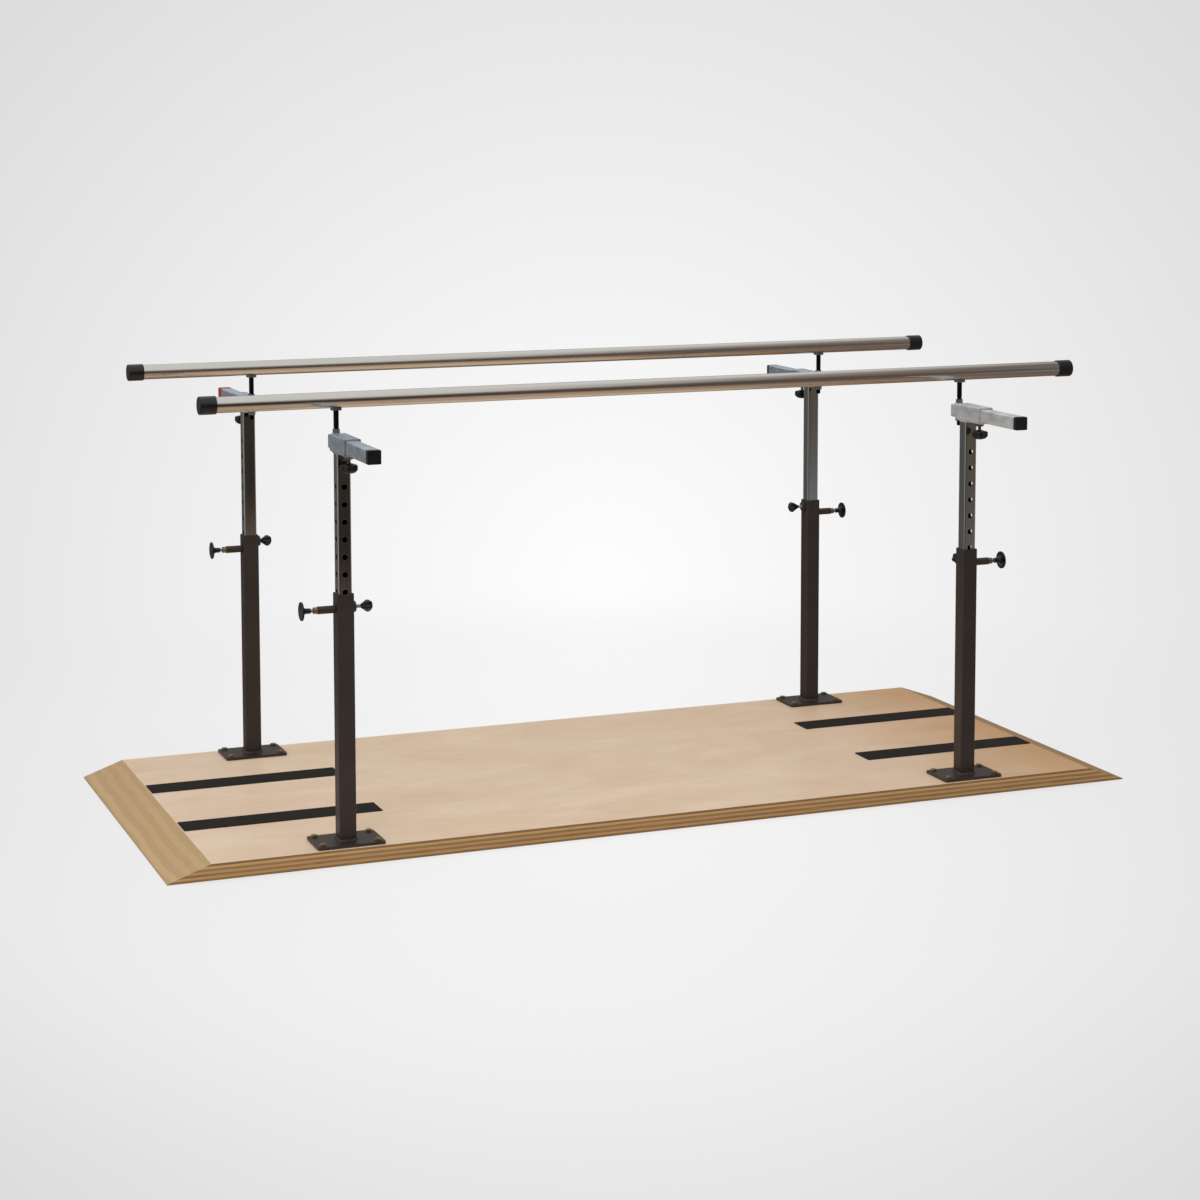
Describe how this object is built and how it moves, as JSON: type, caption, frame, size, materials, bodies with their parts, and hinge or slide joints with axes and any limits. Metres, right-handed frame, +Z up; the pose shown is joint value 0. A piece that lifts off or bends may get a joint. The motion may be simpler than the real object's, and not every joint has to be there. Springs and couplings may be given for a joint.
{
  "type": "rehabilitation walking parallel bars",
  "caption": "Walking parallel bars for gait training: two polished rails on telescoping, width-adjustable uprights, bolted to a plywood platform with ramped ends.",
  "frame": {"origin": "on the floor, under the middle of the platform", "axes": "+X along the rails towards the right-hand end, +Y across the lane towards the back rail, +Z up"},
  "size_m": [2.346, 1.3266, 1.0197],
  "materials": {
    "birch_plywood": "lacquered birch plywood, plies showing on the cut edges",
    "grip_tape": "gritty anti-slip tape",
    "black_paint": "warm black powder coat",
    "black_plastic": "moulded gloss plastic",
    "red_plastic": "moulded gloss plastic",
    "zinc_plate": "bright zinc plate with a blue cast",
    "chrome": "polished stainless or chromed tube",
    "black_steel": "blackened threaded steel",
    "steel": "spring steel"
  },
  "bodies": {
    "root": {"platform": "birch_plywood", "front_left_grip_strip": "grip_tape", "front_left_base_plate": "black_paint", "front_left_outer_tube": "black_paint", "front_left_plunger_housing": "black_paint", "front_left_plunger_spring": "steel", "back_left_grip_strip": "grip_tape", "back_left_base_plate": "black_paint", "back_left_outer_tube": "black_paint", "back_left_plunger_housing": "black_paint", "back_left_plunger_spring": "steel", "front_right_grip_strip": "grip_tape", "front_right_base_plate": "black_paint", "front_right_outer_tube": "black_paint", "front_right_plunger_housing": "black_paint", "front_right_plunger_spring": "steel", "back_right_grip_strip": "grip_tape", "back_right_base_plate": "black_paint", "back_right_outer_tube": "black_paint", "back_right_plunger_housing": "black_paint", "back_right_plunger_spring": "steel"},
    "front_left_post": {"front_left_post": "chrome", "front_left_sleeve": "zinc_plate"},
    "back_left_post": {"back_left_post": "chrome", "back_left_sleeve": "zinc_plate"},
    "front_right_post": {"front_right_post": "chrome", "front_right_sleeve": "zinc_plate"},
    "back_right_post": {"back_right_post": "chrome", "back_right_sleeve": "zinc_plate"},
    "front_rail": {"front_rail": "chrome", "front_left_rail_cap": "black_plastic", "front_left_rail_stud": "black_steel", "front_left_arm": "zinc_plate", "front_left_arm_cap": "black_plastic", "front_right_rail_cap": "black_plastic", "front_right_rail_stud": "black_steel", "front_right_arm": "zinc_plate", "front_right_arm_cap": "black_plastic"},
    "back_rail": {"back_rail": "chrome", "back_left_rail_cap": "black_plastic", "back_left_rail_stud": "black_steel", "back_left_arm": "zinc_plate", "back_left_arm_cap": "red_plastic", "back_right_rail_cap": "black_plastic", "back_right_rail_stud": "black_steel", "back_right_arm": "zinc_plate", "back_right_arm_cap": "black_plastic"},
    "front_left_pull_pin": {"front_left_pull_pin": "black_plastic"},
    "front_left_tension_knob": {"front_left_tension_knob": "black_plastic"},
    "front_left_width_knob": {"front_left_width_knob": "black_plastic"},
    "back_left_pull_pin": {"back_left_pull_pin": "black_plastic"},
    "back_left_tension_knob": {"back_left_tension_knob": "black_plastic"},
    "back_left_width_knob": {"back_left_width_knob": "black_plastic"},
    "front_right_pull_pin": {"front_right_pull_pin": "black_plastic"},
    "front_right_tension_knob": {"front_right_tension_knob": "black_plastic"},
    "front_right_width_knob": {"front_right_width_knob": "black_plastic"},
    "back_right_pull_pin": {"back_right_pull_pin": "black_plastic"},
    "back_right_tension_knob": {"back_right_tension_knob": "black_plastic"},
    "back_right_width_knob": {"back_right_width_knob": "black_plastic"}
  },
  "joints": [
    {"name": "front_height", "type": "slide", "parent": "root", "child": "front_left_post", "axis": [0, 0, 1], "range_m": [-0.2667, 0.1524]},
    {"name": "front_right_height", "type": "slide", "parent": "root", "child": "front_right_post", "axis": [0, 0, 1], "range_m": [-0.2667, 0.1524]},
    {"name": "front_width", "type": "slide", "parent": "front_left_post", "child": "front_rail", "axis": [0, 1, 0], "range_m": [0, 0.127]},
    {"name": "back_height", "type": "slide", "parent": "root", "child": "back_left_post", "axis": [0, 0, 1], "range_m": [-0.2667, 0.1524]},
    {"name": "back_right_height", "type": "slide", "parent": "root", "child": "back_right_post", "axis": [0, 0, 1], "range_m": [-0.2667, 0.1524]},
    {"name": "back_width", "type": "slide", "parent": "back_left_post", "child": "back_rail", "axis": [0, -1, 0], "range_m": [0, 0.127]},
    {"name": "front_left_pull", "type": "slide", "parent": "root", "child": "front_left_pull_pin", "axis": [1, 0, 0], "range_m": [0, 0.006], "stiffness_N_per_m": 800, "springref_m": 0.012, "deforming": ["front_left_plunger_spring"]},
    {"name": "front_left_tension", "type": "hinge", "parent": "root", "child": "front_left_tension_knob", "pos_m": [-0.766, -0.419, 0.554], "axis": [1, 0, 0], "range_deg": [0, 540]},
    {"name": "front_left_width_screw", "type": "hinge", "parent": "front_left_post", "child": "front_left_width_knob", "pos_m": [-0.766, -0.473, 0.91], "axis": [0, 0, 1], "range_deg": [0, 540]},
    {"name": "back_left_pull", "type": "slide", "parent": "root", "child": "back_left_pull_pin", "axis": [1, 0, 0], "range_m": [0, 0.006], "stiffness_N_per_m": 800, "springref_m": 0.012, "deforming": ["back_left_plunger_spring"]},
    {"name": "back_left_tension", "type": "hinge", "parent": "root", "child": "back_left_tension_knob", "pos_m": [-0.766, 0.419, 0.568], "axis": [1, 0, 0], "range_deg": [0, 540]},
    {"name": "back_left_width_screw", "type": "hinge", "parent": "back_left_post", "child": "back_left_width_knob", "pos_m": [-0.766, 0.473, 0.91], "axis": [0, 0, 1], "range_deg": [0, 540]},
    {"name": "front_right_pull", "type": "slide", "parent": "root", "child": "front_right_pull_pin", "axis": [-1, 0, 0], "range_m": [0, 0.006], "stiffness_N_per_m": 800, "springref_m": 0.012, "deforming": ["front_right_plunger_spring"]},
    {"name": "front_right_tension", "type": "hinge", "parent": "root", "child": "front_right_tension_knob", "pos_m": [0.766, -0.419, 0.554], "axis": [0, 1, 0], "range_deg": [0, 540]},
    {"name": "front_right_width_screw", "type": "hinge", "parent": "front_right_post", "child": "front_right_width_knob", "pos_m": [0.766, -0.473, 0.91], "axis": [0, 0, 1], "range_deg": [0, 540]},
    {"name": "back_right_pull", "type": "slide", "parent": "root", "child": "back_right_pull_pin", "axis": [-1, 0, 0], "range_m": [0, 0.006], "stiffness_N_per_m": 800, "springref_m": 0.012, "deforming": ["back_right_plunger_spring"]},
    {"name": "back_right_tension", "type": "hinge", "parent": "root", "child": "back_right_tension_knob", "pos_m": [0.766, 0.419, 0.568], "axis": [-1, 0, 0], "range_deg": [0, 540]},
    {"name": "back_right_width_screw", "type": "hinge", "parent": "back_right_post", "child": "back_right_width_knob", "pos_m": [0.766, 0.473, 0.91], "axis": [0, 0, 1], "range_deg": [0, 540]}
  ],
  "couplings": [
    {"joint": "front_right_height", "follows": "front_height", "ratio": 1},
    {"joint": "back_right_height", "follows": "back_height", "ratio": 1}
  ]
}
